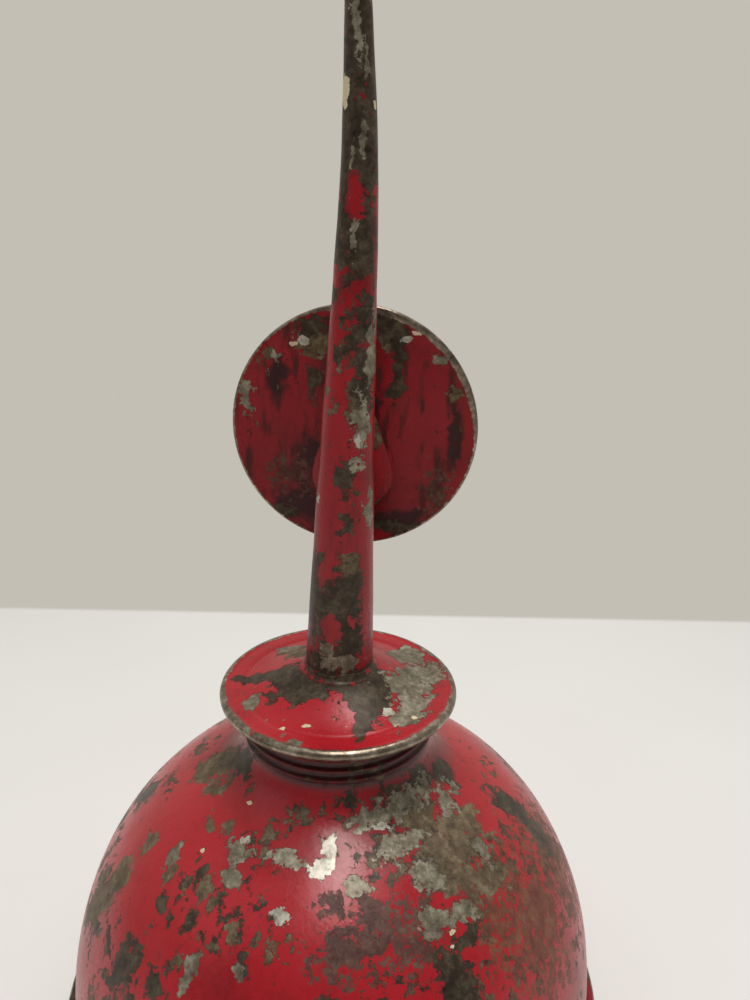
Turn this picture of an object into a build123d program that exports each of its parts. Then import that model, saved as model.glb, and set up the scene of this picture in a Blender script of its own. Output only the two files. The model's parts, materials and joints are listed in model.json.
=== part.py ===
from build123d import *
import os
from math import cos, hypot, radians, sin, sqrt

# Thumb-lever pump oiler: a dome-bodied steel oil can with a screw cap that carries the
# spout, the thumb lever and the pump. Millimetres, +Z up, origin at the centre of the
# base's underside, spout on the Z axis, thumb lever behind it on the +Y side.

# ---- driving dimensions: can ----
SHEET = 0.7                  # steel sheet of the can
DOME_RADIUS = 54.0           # outside of the dome at its widest
DOME_FOOT_Z = 10.0           # below this height the wall is upright
DOME_RISE = 52.7             # from there to where the dome's outline would close
DOME_FULLNESS = 2.15         # exponent of the outline, 2 being an ellipse
DOME_STATIONS = [1.0, 0.985, 0.94, 0.87, 0.76, 0.62]   # shares of the radius on the curve
WALL_BOTTOM_Z = 0.8
SEAM_RADIUS = 56.9           # outside of the rolled base seam
SEAM_HEIGHT = 5.2
SEAM_LIP = 2.0               # seam metal folded in under the wall
SEAM_ROUND = 1.2
PAN_Z = 2.6                  # underside of the can's bottom
PAN_STEP = 0.8               # the bottom's middle is pressed up by this much
PAN_STEP_RADIUS = 40.0
PAN_SLOPE = 2.0

# ---- driving dimensions: neck, thread and cap ----
FLANGE_TOP_Z = 76.0          # top of the cap's rolled rim
NECK_RADIUS = 17.9           # outside of the neck between the thread's turns
NECK_SHEET = 0.6
NECK_FOOT_Z = 66.0           # the flare on to the dome starts here
NECK_FOOT_DROP = 0.3         # the flare's inside starts this much lower
FLARE_RADIUS = 25.0          # the flare has become the dome here
NECK_TOP_Z = 73.7
THREAD_PITCH = 2.0
THREAD_TURNS = 2.6
NECK_BEAD = 0.55             # radius of the thread's rolled bead on the neck
NECK_BEAD_START = 0.9        # first bead above the neck's foot
BEAD_OFFSET = 0.05           # bead centres off the sheet's face
SKIRT_RADIUS = 16.5          # outside of the cap's threaded skirt
SKIRT_SHEET = 0.6
SKIRT_BOTTOM_Z = 66.2
SKIRT_BEAD = 0.5
SKIRT_BEAD_START = 1.0       # first bead above the skirt's edge
CAP_SHEET = 0.8
FLANGE_RADIUS = 23.0
RIM_BEAD = 1.0
BRIM_Z = 75.9                # flat brim between the groove and the rim
GROOVE_RADIUS = 18.4         # pressed groove round the cap
GROOVE_HALF_WIDTH = 0.4
GROOVE_DEPTH = 0.3
CROWN_RISE = 3.7             # crown of the cap above the rim's top
CROWN_FLAT_RADIUS = 7.2
CROWN_SHOULDER = 0.62        # share of the rise half-way down the crown's slope
CROWN_Z = FLANGE_TOP_Z + CROWN_RISE
GASKET_INNER = 17.0
GASKET_OUTER = 19.6

# ---- driving dimensions: spout ----
SPOUT_BASE_RADIUS = 6.6
SPOUT_TIP_RADIUS = 1.65
SPOUT_LENGTH = 124.3
SPOUT_WALL = 0.6
BORE_OVERRUN = 0.2           # the bore's cutter runs past both ends by this
# The spout of this old can is a little bent: sideways drift at a share of its length.
SPOUT_DRIFT = [
    (0.0, 0.0),
    (0.18, 0.45),
    (0.36, 0.95),
    (0.55, 1.7),
    (0.72, 2.2),
    (0.87, 1.75),
    (1.0, 0.9),
]
SPOUT_SOLDER_WIDTH = 0.9
SPOUT_SOLDER_RISE = 1.6
SPOUT_SOLDER_SINK = 0.1      # the fillet starts this far under the crown's flat

# ---- driving dimensions: pump ----
PUMP_Y = 10.6                # plunger axis behind the spout
ROD_RADIUS = 1.5
RUNNING_CLEARANCE = 0.05
BARREL_BORE = 4.2
BARREL_WALL = 0.6
BARREL_TOP_Z = 74.0
BARREL_BOTTOM_Z = 46.0
GLAND_STEM_RADIUS = 2.5
BOSS_RADIUS = 3.2
GLAND_PLUG_BOTTOM_Z = 71.0
GLAND_COLLAR_TOP_Z = 76.6
NUT_BOTTOM_Z = 80.0
NUT_TOP_Z = 83.4
NUT_ACROSS_FLATS = 6.0
NUT_CLEARANCE = 0.1
PACKING_Z = 81.2
PACKING_HEIGHT = 1.0
BUTTON_Z = 85.2              # underside of the plunger's button
BUTTON_RADIUS = 2.3
BUTTON_TOP_Z = 86.3
BUTTON_CROWN_RADIUS = 6.0
PISTON_GAP = 0.1             # piston washer to gland at rest
PISTON_WASHER_HEIGHT = 1.2
PISTON_WASHER_GAP = 0.3      # between the washer's edge and the bore
CUP_HEIGHT = 2.8
CUP_WEB = 1.0
CUP_SKIRT = 0.8
PISTON_NUT_HEIGHT = 2.0
PISTON_NUT_ACROSS_FLATS = 4.0
SPRING_RADIUS = 2.9
SPRING_WIRE = 0.27  # radius of the wire
SPRING_END_GAP = 0.3         # coil centres from the faces that they press on
SPRING_TURNS = 8
FOOT_PLUG_TOP_Z = 50.0
FOOT_COLLAR_HEIGHT = 2.0
FOOT_NIPPLE = 4.0            # length inside the suction tube
BALL_RADIUS = 1.5
BALL_SEAT_RADIUS = 1.2
BALL_CHAMBER_RADIUS = 2.0
SEAT_GAP = 0.02
STOP_PIN_RADIUS = 0.25
STOP_PIN_INSET = 0.2         # pin ends inside the valve body's wall
STOP_PIN_GAP = 0.1           # between the pin and the lifted ball
TUBE_BORE = 2.0              # suction tube
TUBE_WALL = 0.6
TUBE_BOTTOM_Z = 6.6
STRAINER_BOTTOM_Z = 5.0
STRAINER_HEIGHT = 5.5
STRAINER_WALL = 0.5
STRAINER_HOLE_RADIUS = 0.35
STRAINER_HOLE_CIRCLE = 1.5
STRAINER_HOLES = 6
TRANSFER_RADIUS = 1.4
TRANSFER_BORE = 0.9
TRANSFER_Z = 54.0
TRANSFER_BEND = 3.0
TRANSFER_SOCKET = 3.0        # depth of the tube in the outlet valve
TRANSFER_GAP = 0.1           # between the tube's end and the barrel's bore
OUTLET_BODY_RADIUS = 4.2
OUTLET_BOTTOM_Z = 62.0
OUTLET_SEAT_Z = 67.0
OUTLET_BALL_RADIUS = 1.8
OUTLET_SEAT_RADIUS = 1.0
OUTLET_CHAMBER_RADIUS = 2.4
BALL_TRAVEL = 0.9
PISTON_TOP_Z = GLAND_PLUG_BOTTOM_Z - PISTON_GAP
CUP_TOP_Z = PISTON_TOP_Z - PISTON_WASHER_HEIGHT
WEB_BOTTOM_Z = CUP_TOP_Z - CUP_WEB
ROD_BOTTOM_Z = WEB_BOTTOM_Z - PISTON_NUT_HEIGHT

# ---- driving dimensions: thumb lever ----
PIVOT_Y = 18.5
PIVOT_Z = FLANGE_TOP_Z + 11.0
PIN_RADIUS = 1.25
PIN_HEAD_RADIUS = 1.9
PIN_HEAD_HEIGHT = 0.5
PIN_END_PLAY = 0.05
CHEEK_INNER = 3.0
CHEEK_SHEET = 0.9
EAR_RADIUS = 3.2
BRACKET_FRONT_Y = 14.9
BRACKET_BACK_Y = 20.8
BRACKET_FOOT_Z = 75.0        # the ears run down to here before the crown trims them
BRACKET_FRONT_CORNER = 5.0   # upright stretch of the ear's front edge
BRACKET_BACK_CORNER = 3.0
EAR_FRONT_INSET = 0.1
EAR_BACK_INSET = 0.4
HUB_RADIUS = 2.7
HUB_HALF_WIDTH = 2.8
HEEL_HALF_WIDTH = 2.2
HEEL_HALF_HEIGHT = 1.1
NOSE_RADIUS = 1.4
NOSE_GAP = 0.12
LEVER_LEAN = 3.4             # degrees the arm leans towards the spout at rest
ARM_HALF_WIDTH = 2.7
ARM_SHEET = 1.4
SPADE_START = 13.0           # distances from the pivot up the arm
SPADE_WIDEST = 24.5
SPADE_SHOULDER = 36.0
SPADE_TOP = 40.0
SPADE_HALF_WIDTH = 8.0
SHOULDER_HALF_WIDTH = 5.2
DISC_RADIUS = 24.7
DISC_SHEET = 0.9
DISC_CENTRE = 35.1
DISC_FACE = 1.6              # front face of the disc behind the pivot
DISC_ROUND = 0.3
SOLDER_WIDTH = 0.6
SOLDER_HEIGHT = 0.4
SOLDER_INSET = 0.8           # the solder stays this far inside the disc's edge

# ---- cutters ----
CUT_BELOW = 2.0              # holes through the cap start this far under the brim
CUT_ABOVE = 6.0
TRIM_HEIGHT = 10.0           # height of the block that a foot on the crown is cut from
TRIM_CENTRE_Z = 78.0
CROSS_CUT_OVERRUN = 1.0


def revolved(*edges):
    """Solid of revolution about Z from a closed outline in the XZ plane."""
    return revolve(Plane.XZ * make_face(edges), axis=Axis.Z)


def ring(inner, outer, bottom, top, y=0.0):
    """Plain tube or washer on a vertical axis."""
    height = top - bottom
    body = Cylinder(outer, height, align=(Align.CENTER, Align.CENTER, Align.MIN))
    if inner > 0:
        body -= Cylinder(inner, height, align=(Align.CENTER, Align.CENTER, Align.MIN))
    return Pos(0, y, bottom) * body


def rod(radius, bottom, top, y=0.0):
    return ring(0, radius, bottom, top, y)


def cross_rod(radius, half_length, y, z):
    """Round bar along X."""
    return Pos(0, y, z) * Rot(0, 90, 0) * Cylinder(radius, 2 * half_length)


def hex_prism(across_flats, bottom, top, y=0.0):
    """Hexagonal prism with two flats facing along Y."""
    corner_radius = across_flats / sqrt(3)
    return Pos(0, y, bottom) * extrude(RegularPolygon(corner_radius, 6), top - bottom)


def largest(shape):
    """The one solid that counts, where a cut leaves a loose piece as well."""
    return max(shape.solids(), key=lambda solid: solid.volume)


def dome_height(radius, inset):
    """Height of the dome's outline at a radius, for the surface that lies inset inside it."""
    share = min(1.0, radius / (DOME_RADIUS - inset))
    return DOME_FOOT_Z + (DOME_RISE - inset) * (1 - share**DOME_FULLNESS) ** (1 / DOME_FULLNESS)


def dome_outline(inset, neck_radius, neck_foot):
    """Wall, dome curve and flare up to the neck's foot, as joined edges."""
    widest = DOME_RADIUS - inset
    flare = FLARE_RADIUS
    points = [(widest * share, dome_height(widest * share, inset)) for share in DOME_STATIONS]
    points.append((flare, dome_height(flare, inset)))
    step = 0.01
    slope = (dome_height(flare - step, inset) - dome_height(flare, inset)) / step
    length = hypot(1, slope)
    leaving = (-1 / length, slope / length)
    wall = Line((widest, WALL_BOTTOM_Z), (widest, DOME_FOOT_Z))
    curve = Spline(*points, tangents=((0, 1), leaving))
    collar = Spline(points[-1], (neck_radius, neck_foot), tangents=(leaving, (0, 1)))
    return [wall, curve, collar]


def thread_bead(path_radius, bead_radius, start_z):
    """Rolled thread as a round bead along a helix."""
    path = Pos(0, 0, start_z) * Helix(THREAD_PITCH, THREAD_PITCH * THREAD_TURNS, path_radius)
    section = Plane(path @ 0, z_dir=path % 0) * Circle(bead_radius)
    return sweep(section, path=path, is_frenet=True)


def make_can_dome():
    inner_neck = NECK_RADIUS - NECK_SHEET
    inner_foot = NECK_FOOT_Z - NECK_FOOT_DROP
    outer = dome_outline(0.0, NECK_RADIUS, NECK_FOOT_Z)
    inner = dome_outline(SHEET, inner_neck, inner_foot)
    neck_outside = Line((NECK_RADIUS, NECK_FOOT_Z), (NECK_RADIUS, NECK_TOP_Z))
    neck_edge = Line((NECK_RADIUS, NECK_TOP_Z), (inner_neck, NECK_TOP_Z))
    neck_inside = Line((inner_neck, NECK_TOP_Z), (inner_neck, inner_foot))
    bottom_edge = Line((DOME_RADIUS - SHEET, WALL_BOTTOM_Z), (DOME_RADIUS, WALL_BOTTOM_Z))
    shell = revolved(*outer, neck_outside, neck_edge, neck_inside, *inner, bottom_edge)
    return shell + thread_bead(NECK_RADIUS + BEAD_OFFSET, NECK_BEAD, NECK_FOOT_Z + NECK_BEAD_START)


def make_can_bottom():
    edge = DOME_RADIUS - SHEET
    slope_end = PAN_STEP_RADIUS - PAN_SLOPE
    raised = PAN_Z + PAN_STEP
    outline = Polyline(
        (0, raised),
        (slope_end, raised),
        (PAN_STEP_RADIUS, PAN_Z),
        (edge, PAN_Z),
        (edge, PAN_Z + SHEET),
        (PAN_STEP_RADIUS, PAN_Z + SHEET),
        (slope_end, raised + SHEET),
        (0, raised + SHEET),
        close=True,
    )
    return revolved(*outline.edges())


def make_base_seam():
    outline = Polyline(
        (DOME_RADIUS - SEAM_LIP, 0),
        (SEAM_RADIUS, 0),
        (SEAM_RADIUS, SEAM_HEIGHT),
        (DOME_RADIUS, SEAM_HEIGHT),
        (DOME_RADIUS, WALL_BOTTOM_Z),
        (DOME_RADIUS - SEAM_LIP, WALL_BOTTOM_Z),
        close=True,
    )
    seam = revolved(*outline.edges())
    outer_edges = [
        edge
        for edge in seam.edges().filter_by(GeomType.CIRCLE)
        if abs(edge.radius - SEAM_RADIUS) < 0.01
    ]
    return fillet(outer_edges, SEAM_ROUND)


def crown_line(lift):
    """Top of the cap from the crown's flat out to the groove, raised by lift."""
    flat = Line((0, CROWN_Z + lift), (CROWN_FLAT_RADIUS, CROWN_Z + lift))
    middle_z = FLANGE_TOP_Z + lift + CROWN_SHOULDER * CROWN_RISE
    middle = ((CROWN_FLAT_RADIUS + GROOVE_RADIUS) / 2, middle_z)
    crown = ThreePointArc(flat @ 1, middle, (GROOVE_RADIUS - GROOVE_HALF_WIDTH, BRIM_Z + lift))
    return [flat, crown]


def make_cap_plate():
    """Crowned cap with a pressed groove, a rolled rim and holes for the spout and the gland."""
    brim_start = GROOVE_RADIUS + GROOVE_HALF_WIDTH
    brim_end = FLANGE_RADIUS - RIM_BEAD
    groove_z = BRIM_Z - GROOVE_DEPTH
    upper = crown_line(0.0)
    lower = crown_line(-CAP_SHEET)
    rim_side = [
        Line(upper[1] @ 1, (GROOVE_RADIUS, groove_z)),
        Line((GROOVE_RADIUS, groove_z), (brim_start, BRIM_Z)),
        Line((brim_start, BRIM_Z), (brim_end, BRIM_Z)),
        Line((brim_end, BRIM_Z), (brim_end, BRIM_Z - CAP_SHEET)),
        Line((brim_end, BRIM_Z - CAP_SHEET), lower[1] @ 1),
    ]
    axis_side = Line(lower[0] @ 0, upper[0] @ 0)
    plate = revolved(*upper, *rim_side, *lower, axis_side)
    bead_section = Plane.XZ * Pos(brim_end, FLANGE_TOP_Z - RIM_BEAD) * Circle(RIM_BEAD)
    plate += revolve(bead_section, axis=Axis.Z)
    plate -= rod(OUTLET_CHAMBER_RADIUS, FLANGE_TOP_Z, FLANGE_TOP_Z + CUT_ABOVE)
    hole_bottom = FLANGE_TOP_Z - CUT_BELOW
    return plate - rod(GLAND_STEM_RADIUS, hole_bottom, FLANGE_TOP_Z + CUT_ABOVE, PUMP_Y)


def make_cap_skirt(cap_plate):
    wall = ring(SKIRT_RADIUS - SKIRT_SHEET, SKIRT_RADIUS, SKIRT_BOTTOM_Z, BRIM_Z)
    bead_start = SKIRT_BOTTOM_Z + SKIRT_BEAD_START
    bead = thread_bead(SKIRT_RADIUS - BEAD_OFFSET, SKIRT_BEAD, bead_start)
    return wall + bead - cap_plate


def make_cap_gasket():
    return ring(GASKET_INNER, GASKET_OUTER, NECK_TOP_Z, BRIM_Z - CAP_SHEET)


def spout_cone(base_radius, tip_radius, extra=0.0):
    """Cone along the spout's slightly bent line, extra long at both ends."""
    sections = []
    for share, drift in SPOUT_DRIFT:
        radius = base_radius + (tip_radius - base_radius) * share
        height = CROWN_Z + SPOUT_LENGTH * share
        if share == 0.0:
            height -= extra
        if share == 1.0:
            height += extra
        sections.append(Pos(drift, 0, height) * Circle(radius))
    return loft(sections)


def make_spout():
    outside = spout_cone(SPOUT_BASE_RADIUS, SPOUT_TIP_RADIUS)
    bore_base = SPOUT_BASE_RADIUS - SPOUT_WALL
    bore = spout_cone(bore_base, SPOUT_TIP_RADIUS - SPOUT_WALL, BORE_OVERRUN)
    return outside - bore


def make_spout_solder(spout, cap_plate):
    """Hollow fillet of solder round the spout's foot."""
    inner = SPOUT_BASE_RADIUS - SPOUT_WALL / 2
    foot_z = CROWN_Z - SPOUT_SOLDER_SINK
    crest = (inner, CROWN_Z + SPOUT_SOLDER_RISE)
    foot = (SPOUT_BASE_RADIUS + SPOUT_SOLDER_WIDTH, foot_z)
    hollow = (SPOUT_BASE_RADIUS + SPOUT_SOLDER_WIDTH / 4, CROWN_Z + SPOUT_SOLDER_RISE / 4)
    section = [
        ThreePointArc(crest, hollow, foot),
        Line(foot, (inner, foot_z)),
        Line((inner, foot_z), crest),
    ]
    return revolved(*section) - spout - cap_plate


def make_pump_barrel():
    tube = ring(BARREL_BORE, BARREL_BORE + BARREL_WALL, BARREL_BOTTOM_Z, BARREL_TOP_Z, PUMP_Y)
    port_length = 5 * BARREL_WALL
    port = Rot(90, 0, 0) * Cylinder(TRANSFER_RADIUS, port_length)
    return tube - Pos(0, PUMP_Y - BARREL_BORE, TRANSFER_Z) * port


def make_gland_bush(cap_plate):
    """Plug, collar and stem that guide the plunger rod through the cap."""
    body = rod(BARREL_BORE, GLAND_PLUG_BOTTOM_Z, BARREL_TOP_Z, PUMP_Y)
    body += rod(BARREL_BORE + BARREL_WALL, BARREL_TOP_Z, GLAND_COLLAR_TOP_Z, PUMP_Y)
    body += rod(GLAND_STEM_RADIUS, FLANGE_TOP_Z, PACKING_Z, PUMP_Y)
    body -= rod(ROD_RADIUS + RUNNING_CLEARANCE, GLAND_PLUG_BOTTOM_Z, PACKING_Z, PUMP_Y)
    return body - cap_plate


def make_gland_boss(cap_plate):
    """Boss between the sloping crown and the gland nut: the part above the crown is kept."""
    blank = ring(GLAND_STEM_RADIUS, BOSS_RADIUS, FLANGE_TOP_Z, NUT_BOTTOM_Z, PUMP_Y)
    return (blank - cap_plate).solids().sort_by(Axis.Z)[-1]


def make_gland_nut():
    nut = hex_prism(NUT_ACROSS_FLATS, NUT_BOTTOM_Z, NUT_TOP_Z, PUMP_Y)
    nut -= rod(GLAND_STEM_RADIUS, NUT_BOTTOM_Z, PACKING_Z + PACKING_HEIGHT, PUMP_Y)
    return nut - rod(ROD_RADIUS + NUT_CLEARANCE, NUT_BOTTOM_Z, NUT_TOP_Z, PUMP_Y)


def make_packing_washer():
    inner = ROD_RADIUS + RUNNING_CLEARANCE
    return ring(inner, GLAND_STEM_RADIUS, PACKING_Z, PACKING_Z + PACKING_HEIGHT, PUMP_Y)


def make_plunger_rod():
    """Rod with a domed button that the lever's heel presses on."""
    stem = rod(ROD_RADIUS, ROD_BOTTOM_Z, (BUTTON_Z + BUTTON_TOP_Z) / 2, PUMP_Y)
    button = rod(BUTTON_RADIUS, BUTTON_Z, BUTTON_TOP_Z, PUMP_Y)
    crown = Pos(0, PUMP_Y, BUTTON_TOP_Z - BUTTON_CROWN_RADIUS) * Sphere(BUTTON_CROWN_RADIUS)
    return stem + (button & crown)


def make_piston_washer():
    return ring(ROD_RADIUS, BARREL_BORE - PISTON_WASHER_GAP, CUP_TOP_Z, PISTON_TOP_Z, PUMP_Y)


def make_piston_cup():
    outer = BARREL_BORE - RUNNING_CLEARANCE
    cup = ring(ROD_RADIUS, outer, CUP_TOP_Z - CUP_HEIGHT, CUP_TOP_Z, PUMP_Y)
    return cup - rod(outer - CUP_SKIRT, CUP_TOP_Z - CUP_HEIGHT, WEB_BOTTOM_Z, PUMP_Y)


def make_piston_nut():
    nut = hex_prism(PISTON_NUT_ACROSS_FLATS, ROD_BOTTOM_Z, WEB_BOTTOM_Z, PUMP_Y)
    return nut - rod(ROD_RADIUS, ROD_BOTTOM_Z, WEB_BOTTOM_Z, PUMP_Y)


def make_plunger_spring():
    bottom = FOOT_PLUG_TOP_Z + SPRING_END_GAP
    height = WEB_BOTTOM_Z - SPRING_END_GAP - bottom
    path = Pos(0, PUMP_Y, bottom) * Helix(height / SPRING_TURNS, height, SPRING_RADIUS)
    section = Plane(path @ 0, z_dir=path % 0) * Circle(SPRING_WIRE)
    return sweep(section, path=path, is_frenet=True)


def ball_centre(seat_z, ball_radius, seat_radius):
    """Height of a ball resting on the sharp edge of its seat."""
    return seat_z + sqrt(ball_radius**2 - seat_radius**2) + SEAT_GAP


def stop_height(ball_z, ball_radius):
    """Height of the pin that stops a ball at the end of its lift."""
    return ball_z + ball_radius + BALL_TRAVEL + STOP_PIN_RADIUS + STOP_PIN_GAP


INLET_SEAT_Z = BARREL_BOTTOM_Z
INLET_BALL_Z = ball_centre(INLET_SEAT_Z, BALL_RADIUS, BALL_SEAT_RADIUS)
INLET_STOP_Z = stop_height(INLET_BALL_Z, BALL_RADIUS)
OUTLET_BALL_Z = ball_centre(OUTLET_SEAT_Z, OUTLET_BALL_RADIUS, OUTLET_SEAT_RADIUS)
OUTLET_STOP_Z = stop_height(OUTLET_BALL_Z, OUTLET_BALL_RADIUS)
INLET_PIN_HALF = BARREL_BORE - STOP_PIN_INSET
OUTLET_PIN_HALF = OUTLET_BODY_RADIUS - STOP_PIN_INSET


def make_foot_valve():
    """Plug in the barrel's foot with a ball chamber above and a nipple for the suction tube."""
    collar_bottom = BARREL_BOTTOM_Z - FOOT_COLLAR_HEIGHT
    nipple_bottom = collar_bottom - FOOT_NIPPLE
    body = rod(BARREL_BORE, BARREL_BOTTOM_Z, FOOT_PLUG_TOP_Z, PUMP_Y)
    body += rod(BARREL_BORE + BARREL_WALL, collar_bottom, BARREL_BOTTOM_Z, PUMP_Y)
    body += rod(TUBE_BORE, nipple_bottom, collar_bottom, PUMP_Y)
    body -= rod(BALL_SEAT_RADIUS, nipple_bottom, INLET_SEAT_Z, PUMP_Y)
    body -= rod(BALL_CHAMBER_RADIUS, INLET_SEAT_Z, FOOT_PLUG_TOP_Z, PUMP_Y)
    return body - cross_rod(STOP_PIN_RADIUS, BARREL_BORE, PUMP_Y, INLET_STOP_Z)


def make_suction_tube():
    top = BARREL_BOTTOM_Z - FOOT_COLLAR_HEIGHT
    return ring(TUBE_BORE, TUBE_BORE + TUBE_WALL, TUBE_BOTTOM_Z, top, PUMP_Y)


def make_strainer():
    """Perforated cup pushed over the lower end of the suction tube."""
    inner = TUBE_BORE + TUBE_WALL
    top = STRAINER_BOTTOM_Z + STRAINER_HEIGHT
    cup = ring(inner, inner + STRAINER_WALL, STRAINER_BOTTOM_Z, top, PUMP_Y)
    cup += rod(inner + STRAINER_WALL, STRAINER_BOTTOM_Z, STRAINER_BOTTOM_Z + STRAINER_WALL, PUMP_Y)
    hole = Cylinder(STRAINER_HOLE_RADIUS, 4 * STRAINER_WALL)
    place = Pos(0, PUMP_Y, STRAINER_BOTTOM_Z)
    cup -= place * hole
    for spot in PolarLocations(STRAINER_HOLE_CIRCLE, STRAINER_HOLES):
        cup -= place * spot * hole
    return cup


def make_outlet_valve():
    """Ball valve that leads from the transfer tube into the spout."""
    top = CROWN_Z - CAP_SHEET
    tube_top = OUTLET_BOTTOM_Z + TRANSFER_SOCKET
    body = rod(OUTLET_BODY_RADIUS, OUTLET_BOTTOM_Z, top)
    body -= rod(TRANSFER_RADIUS, OUTLET_BOTTOM_Z, tube_top)
    body -= rod(OUTLET_SEAT_RADIUS, tube_top, OUTLET_SEAT_Z)
    body -= rod(OUTLET_CHAMBER_RADIUS, OUTLET_SEAT_Z, top)
    return body - cross_rod(STOP_PIN_RADIUS, OUTLET_PIN_HALF, 0, OUTLET_STOP_Z)


def make_transfer_tube():
    """Bent tube from the barrel's side to the outlet valve."""
    start = (0, PUMP_Y - BARREL_BORE - TRANSFER_GAP, TRANSFER_Z)
    corner = (0, 0, TRANSFER_Z)
    end = (0, 0, OUTLET_BOTTOM_Z + TRANSFER_SOCKET)
    path = FilletPolyline(start, corner, end, radius=TRANSFER_BEND)
    section = Plane(path @ 0, z_dir=path % 0) * (Circle(TRANSFER_RADIUS) - Circle(TRANSFER_BORE))
    return sweep(section, path=path)


def make_lever_bracket(cap_plate):
    """Pressed bracket: a foot that follows the cap's crown and two ears for the pivot pin."""
    half_width = CHEEK_INNER + CHEEK_SHEET
    depth = BRACKET_BACK_Y - BRACKET_FRONT_Y
    middle_y = (BRACKET_BACK_Y + BRACKET_FRONT_Y) / 2
    blank = Pos(0, middle_y, TRIM_CENTRE_Z) * Box(2 * half_width, depth, TRIM_HEIGHT)
    raised_plate = Pos(0, 0, CHEEK_SHEET) * cap_plate
    foot = blank & raised_plate
    side = Plane.YZ * make_face(
        Polyline(
            (BRACKET_FRONT_Y, BRACKET_FOOT_Z),
            (BRACKET_BACK_Y, BRACKET_FOOT_Z),
            (BRACKET_BACK_Y, BRACKET_FOOT_Z + BRACKET_BACK_CORNER),
            (PIVOT_Y + EAR_RADIUS - EAR_BACK_INSET, PIVOT_Z),
            (PIVOT_Y - EAR_RADIUS + EAR_FRONT_INSET, PIVOT_Z),
            (BRACKET_FRONT_Y, BRACKET_FOOT_Z + BRACKET_FRONT_CORNER),
            close=True,
        )
    )
    ear = extrude(side, CHEEK_SHEET / 2, both=True)
    ear += Pos(0, PIVOT_Y, PIVOT_Z) * Rot(0, 90, 0) * Cylinder(EAR_RADIUS, CHEEK_SHEET)
    offset_x = CHEEK_INNER + CHEEK_SHEET / 2
    bracket = foot + Pos(offset_x, 0, 0) * ear + Pos(-offset_x, 0, 0) * ear
    bracket -= cross_rod(PIN_RADIUS, half_width + CROSS_CUT_OVERRUN, PIVOT_Y, PIVOT_Z)
    return largest(bracket - cap_plate)


def make_bracket_solder(cap_plate, bracket):
    """Line of solder round the front and the sides of the bracket's foot."""
    half_width = CHEEK_INNER + CHEEK_SHEET + SOLDER_WIDTH
    outer_depth = BRACKET_BACK_Y - BRACKET_FRONT_Y + SOLDER_WIDTH
    inner_depth = BRACKET_BACK_Y - BRACKET_FRONT_Y
    outer_place = Pos(0, BRACKET_BACK_Y - outer_depth / 2, TRIM_CENTRE_Z)
    inner_place = Pos(0, BRACKET_BACK_Y - inner_depth / 2, TRIM_CENTRE_Z)
    outer = outer_place * Box(2 * half_width, outer_depth, TRIM_HEIGHT)
    inner = inner_place * Box(2 * CHEEK_INNER, inner_depth, TRIM_HEIGHT)
    raised_plate = Pos(0, 0, SOLDER_HEIGHT) * cap_plate
    return largest((outer & raised_plate) - cap_plate - bracket - inner)


def make_pivot_pin():
    shank_half = CHEEK_INNER + CHEEK_SHEET + PIN_END_PLAY
    pin = cross_rod(PIN_RADIUS, shank_half, PIVOT_Y, PIVOT_Z)
    for side in (-1, 1):
        head = Pos(side * (shank_half + PIN_HEAD_HEIGHT / 2), PIVOT_Y, PIVOT_Z) * Rot(0, 90, 0)
        pin += head * Cylinder(PIN_HEAD_RADIUS, PIN_HEAD_HEIGHT)
    return pin


# The arm's own frame: X across, local Y up the arm from the pivot, local Z to the back.
ARM_PLANE = Plane(
    origin=(0, PIVOT_Y, PIVOT_Z),
    x_dir=(-1, 0, 0),
    z_dir=(0, cos(radians(LEVER_LEAN)), sin(radians(LEVER_LEAN))),
)


def spade_face(grow):
    """Outline of the arm: a narrow shank that opens into a spade behind the spout."""
    shank = ARM_HALF_WIDTH + grow
    wide = SPADE_HALF_WIDTH + grow
    top = SPADE_TOP + grow
    shoulder = SHOULDER_HALF_WIDTH + grow
    shank_side = Line((shank, 0), (shank, SPADE_START))
    bulge_points = [(shank, SPADE_START), (wide, SPADE_WIDEST), (shoulder, SPADE_SHOULDER), (0, top)]
    bulge = Spline(*bulge_points, tangents=((0, 1), (-1, 0)))
    right = [shank_side, bulge]
    left = [mirror(edge, about=Plane.YZ) for edge in right]
    return make_face([*right, *left, Line((-shank, 0), (shank, 0))])


def make_lever_arm():
    """Arm with the pivot hub and the heel that presses the plunger."""
    front = DISC_FACE - ARM_SHEET
    arm = ARM_PLANE * Pos(0, 0, front) * extrude(spade_face(0.0), ARM_SHEET)
    hub = Pos(0, PIVOT_Y, PIVOT_Z) * Rot(0, 90, 0) * Cylinder(HUB_RADIUS, 2 * HUB_HALF_WIDTH)
    nose_z = BUTTON_TOP_Z + NOSE_GAP + NOSE_RADIUS
    nose = cross_rod(NOSE_RADIUS, HEEL_HALF_WIDTH, PUMP_Y, nose_z)
    heel_face = Plane.YZ * make_face(
        Polyline(
            (PUMP_Y, nose_z - HEEL_HALF_HEIGHT),
            (PIVOT_Y, PIVOT_Z - HEEL_HALF_HEIGHT),
            (PIVOT_Y, PIVOT_Z + HEEL_HALF_HEIGHT),
            (PUMP_Y, nose_z + HEEL_HALF_HEIGHT),
            close=True,
        )
    )
    heel = extrude(heel_face, HEEL_HALF_WIDTH, both=True)
    lever = arm + hub + nose + heel
    bore_half = HUB_HALF_WIDTH + CROSS_CUT_OVERRUN
    return lever - cross_rod(PIN_RADIUS + RUNNING_CLEARANCE, bore_half, PIVOT_Y, PIVOT_Z)


def make_thumb_disc():
    blank = Pos(0, DISC_CENTRE, DISC_FACE) * extrude(Circle(DISC_RADIUS), DISC_SHEET)
    return fillet((ARM_PLANE * blank).edges(), DISC_ROUND)


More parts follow.
